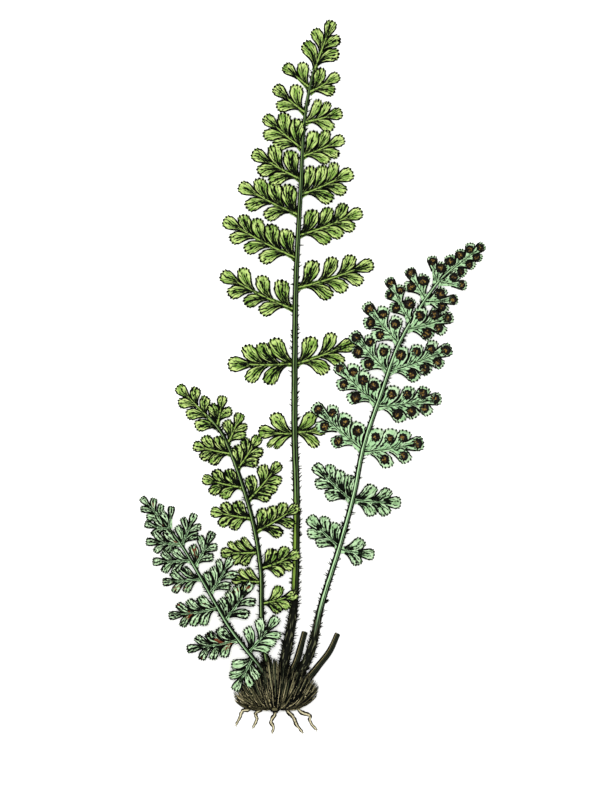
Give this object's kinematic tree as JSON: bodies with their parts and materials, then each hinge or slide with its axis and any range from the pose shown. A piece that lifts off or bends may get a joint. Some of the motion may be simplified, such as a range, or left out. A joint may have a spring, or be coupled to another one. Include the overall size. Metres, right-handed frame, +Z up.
{
  "type": "lanceolate spleenwort",
  "caption": "Small evergreen rock fern lifted whole and laid flat: lobed lance-shaped fronds on slender stalks, from a scaly rhizome with wiry roots.",
  "frame": {"origin": "middle of the flat spot that the rhizome rests on", "axes": "+Y from the rhizome towards the tips of the fronds, +Z up from the surface that the plant lies on, +X to the right seen from above"},
  "size_m": [0.1453, 0.2986, 0.0208],
  "materials": {
    "upper_side": "thin leaf, upper side, yellow-green with dark veins",
    "lower_side": "thin leaf, under side, pale blue-green",
    "scaly": "dense dark brown scales",
    "old_stalk": "dull dark stalk",
    "root": "dry tan root"
  },
  "bodies": {
    "root": {"rhizome": "scaly", "frond_tall": "upper_side", "frond_fertile": "lower_side", "frond_young": "upper_side", "frond_low": "lower_side", "old_stalk_1": "old_stalk", "old_stalk_2": "old_stalk", "root_1": "root", "root_2": "root", "root_3": "root", "root_4": "root", "root_5": "root"}
  },
  "joints": []
}
